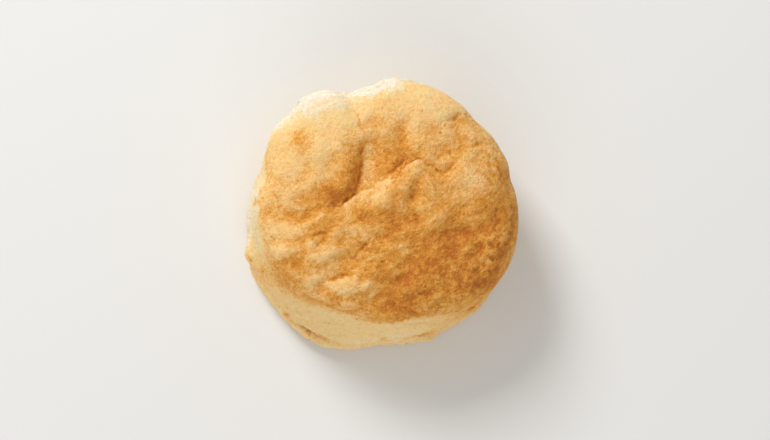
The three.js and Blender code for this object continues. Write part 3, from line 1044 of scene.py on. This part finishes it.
def crust_pores(tree, place, side, crusty):
    """Pores, weaker in the crust than in the side, and the crust's pinholes: a value from 0 to 1."""
    pores = pores_group()
    wide = use_group(tree, pores, Vector=place, **WIDE_PORES)["Pore"]
    fine = use_group(tree, pores, Vector=place, **FINE_PORES)["Pore"]
    pinhole = use_group(tree, pores, Vector=place, **PINHOLES)["Pore"]
    pore = calculate(tree, "MAXIMUM", wide, calculate(tree, "MULTIPLY", fine, FINE_PORE_STRENGTH))
    strength = remap(tree, side, 0.0, 1.0, CRUST_PORE_STRENGTH, SIDE_PORE_STRENGTH, "LINEAR")
    pore = calculate(tree, "MULTIPLY", pore, strength)
    hole = calculate(tree, "MULTIPLY", pinhole, calculate(tree, "MULTIPLY", crusty, PINHOLE_STRENGTH))
    return calculate(tree, "MAXIMUM", pore, hole)


def crust_browning_and_shade(tree, marks, crusty):
    """How brown: the baked and shaded patches, then hollows (painted shade, partly real browning) and
    mottling, then specks and pores (painted shade in the pores).
    """
    # Hollows painted browner: painted shade in them, with some real browning
    change = weighed(tree, marks, CRUST_BROWNINGS_AND_SHADE)
    browning_and_shade = calculate(tree, "MULTIPLY_ADD", change, crusty, attribute(tree, "browning_and_shade"))
    shown = remap(tree, browning_and_shade, *PALE_SPAN, PALE_SHARE, 1.0)
    specks = weighed(tree, marks, SPECK_BROWNINGS)
    browning_and_shade = calculate(tree, "MULTIPLY_ADD", specks, shown, browning_and_shade)
    # Pores painted darker: painted shade in them
    return calculate(tree, "MULTIPLY_ADD", marks["pore"], PORE_SHADE, browning_and_shade)


def crust_bump(tree, marks):
    """Normals of the relief that is too fine for the mesh."""
    bump = add_node(tree, "ShaderNodeBump")
    bump.inputs["Distance"].default_value = 1.0
    bump.inputs["Strength"].default_value = 1.0
    feed(tree, bump.inputs["Height"], weighed(tree, marks, FINE_HEIGHTS))
    return bump.outputs["Normal"]


def crust_material(crust, colours):
    """Baked dough: browner in hollows as painted shade with some real browning, mottled and grainy,
    with pores in the side that are painted darker as shade.
    """
    material = bpy.data.materials.new("baked_crust")
    material.use_nodes = True
    tree = material.node_tree
    surface = tree.nodes["Principled BSDF"]
    place = crust_place(tree, crust)
    side = attribute(tree, "side")
    crusty = calculate(tree, "SUBTRACT", 1.0, calculate(tree, "MULTIPLY", side, SIDE_CALM))
    marks = {name: attribute(tree, name) for name in ("broad_hollow", "fine_hollow")}
    mottling = mottling_group()
    for name, mottle in MOTTLES.items():
        marks[name] = use_group(tree, mottling, Vector=place, **mottle)["Value"]
    marks["pore"] = crust_pores(tree, place, side, crusty)
    colour = use_group(
        tree, toasting_group(), Browning=crust_browning_and_shade(tree, marks, crusty),
        Pale=colour4(colours.pale), Tan=colour4(colours.tan), Golden=colour4(colours.golden),
        Brown=colour4(colours.brown), Dark=colour4(colours.dark))["Color"]
    shade = weighed(tree, marks, SPECK_SHADES, start=1.0)
    feed(tree, surface.inputs["Base Color"], blend(tree, 1.0, colour, shade, "MULTIPLY"))
    feed(tree, surface.inputs["Normal"], crust_bump(tree, marks))
    surface.inputs["Roughness"].default_value = colours.roughness
    surface.inputs["Specular IOR Level"].default_value = colours.shine
    surface.inputs["Subsurface Weight"].default_value = colours.glow
    surface.inputs["Subsurface Radius"].default_value = GLOW_TINT
    surface.inputs["Subsurface Scale"].default_value = colours.glow_depth
    return material


def floor_material(colour):
    """A plain pale floor."""
    material = bpy.data.materials.new("pale_floor")
    material.use_nodes = True
    surface = material.node_tree.nodes["Principled BSDF"]
    surface.inputs["Base Color"].default_value = colour4(colour)
    surface.inputs["Roughness"].default_value = FLOOR_ROUGHNESS
    return material


# Operators, one for the biscuit and one for the stage

class BISCUIT_OT_bake(bpy.types.Operator):
    """Bake the biscuit: refine the solid, fold and flake its surface, and colour it"""

    bl_idname = "biscuit.bake"
    bl_label = "Bake Biscuit"

    def execute(self, context):
        crust = context.scene.biscuit_crust
        colours = context.scene.biscuit_colours
        mesh = make_biscuit_mesh(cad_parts[NODE], crust, colours)
        mesh.materials.append(crust_material(crust, colours))
        biscuit = bpy.data.objects.new("baked_biscuit", mesh)
        context.scene.collection.objects.link(biscuit)
        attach(biscuit, BODY)
        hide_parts(NODE)
        return {"FINISHED"}


class BISCUIT_OT_set_stage(bpy.types.Operator):
    """Set the stage: a pale floor, soft light and a camera that looks straight down"""

    bl_idname = "biscuit.set_stage"
    bl_label = "Set Stage"

    def execute(self, context):
        stage = context.scene.biscuit_stage
        self.lay_floor(context, stage)
        self.light(context, stage)
        self.place_camera(context, stage)
        context.scene.view_settings.view_transform = "Standard"
        return {"FINISHED"}

    def lay_floor(self, context, stage):
        """A wide flat floor under the biscuit."""
        half = stage.floor_size / 2
        mesh = bpy.data.meshes.new("floor")
        corners = [(-half, -half, 0), (half, -half, 0), (half, half, 0), (-half, half, 0)]
        mesh.from_pydata(corners, [], [(0, 1, 2, 3)])
        mesh.materials.append(floor_material(stage.floor_colour))
        floor = bpy.data.objects.new("floor", mesh)
        context.scene.collection.objects.link(floor)

    def light(self, context, stage):
        """The two lamps and the even light around."""
        self.add_lamp(context, "key", stage.key_place, stage.key_size, stage.key_power)
        self.add_lamp(context, "fill", stage.fill_place, stage.fill_size, stage.fill_power)
        world = bpy.data.worlds.new("studio")
        world.use_nodes = True
        sky = world.node_tree.nodes["Background"]
        sky.inputs["Color"].default_value = colour4(SKY_COLOUR)
        sky.inputs["Strength"].default_value = stage.sky_strength
        context.scene.world = world

    def add_lamp(self, context, name, place, size, power):
        """A square lamp that faces the biscuit and stays out of the picture."""
        lamp = bpy.data.lights.new(name, "AREA")
        lamp.size = size
        lamp.energy = power
        holder = bpy.data.objects.new(name, lamp)
        holder.location = place
        holder.rotation_euler = (-holder.location).to_track_quat("-Z", "Y").to_euler()
        holder.visible_camera = False
        context.scene.collection.objects.link(holder)

    def place_camera(self, context, stage):
        """The camera, which looks straight down."""
        lens = bpy.data.cameras.new("camera")
        lens.lens = stage.focal_length
        lens.clip_start = NEAREST_SEEN
        camera = bpy.data.objects.new("camera", lens)
        camera.location = stage.camera_place
        context.scene.collection.objects.link(camera)
        context.scene.camera = camera


class BISCUIT_PT_panel(bpy.types.Panel):
    """The biscuit's sizes, colours and stage"""

    bl_idname = "BISCUIT_PT_panel"
    bl_label = "Baked Biscuit"
    bl_space_type = "VIEW_3D"
    bl_region_type = "UI"
    bl_category = "Biscuit"

    def draw(self, context):
        scene = context.scene
        for settings in (scene.biscuit_crust, scene.biscuit_colours, scene.biscuit_stage):
            box = self.layout.box()
            for name in settings.__annotations__:
                box.prop(settings, name)
        self.layout.operator(BISCUIT_OT_bake.bl_idname)
        self.layout.operator(BISCUIT_OT_set_stage.bl_idname)


CLASSES = (
    BiscuitCrustSettings,
    BiscuitColourSettings,
    BiscuitStageSettings,
    BISCUIT_OT_bake,
    BISCUIT_OT_set_stage,
    BISCUIT_PT_panel,
)


def register():
    """Adds the classes and their settings to Blender."""
    for entry in CLASSES:
        bpy.utils.register_class(entry)
    bpy.types.Scene.biscuit_crust = PointerProperty(type=BiscuitCrustSettings)
    bpy.types.Scene.biscuit_colours = PointerProperty(type=BiscuitColourSettings)
    bpy.types.Scene.biscuit_stage = PointerProperty(type=BiscuitStageSettings)


def unregister():
    """Takes the settings and the classes out again."""
    del bpy.types.Scene.biscuit_stage
    del bpy.types.Scene.biscuit_colours
    del bpy.types.Scene.biscuit_crust
    for entry in reversed(CLASSES):
        bpy.utils.unregister_class(entry)


def main():
    register()
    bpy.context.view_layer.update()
    bpy.ops.biscuit.bake()
    bpy.ops.biscuit.set_stage()


if __name__ == "__main__":
    main()
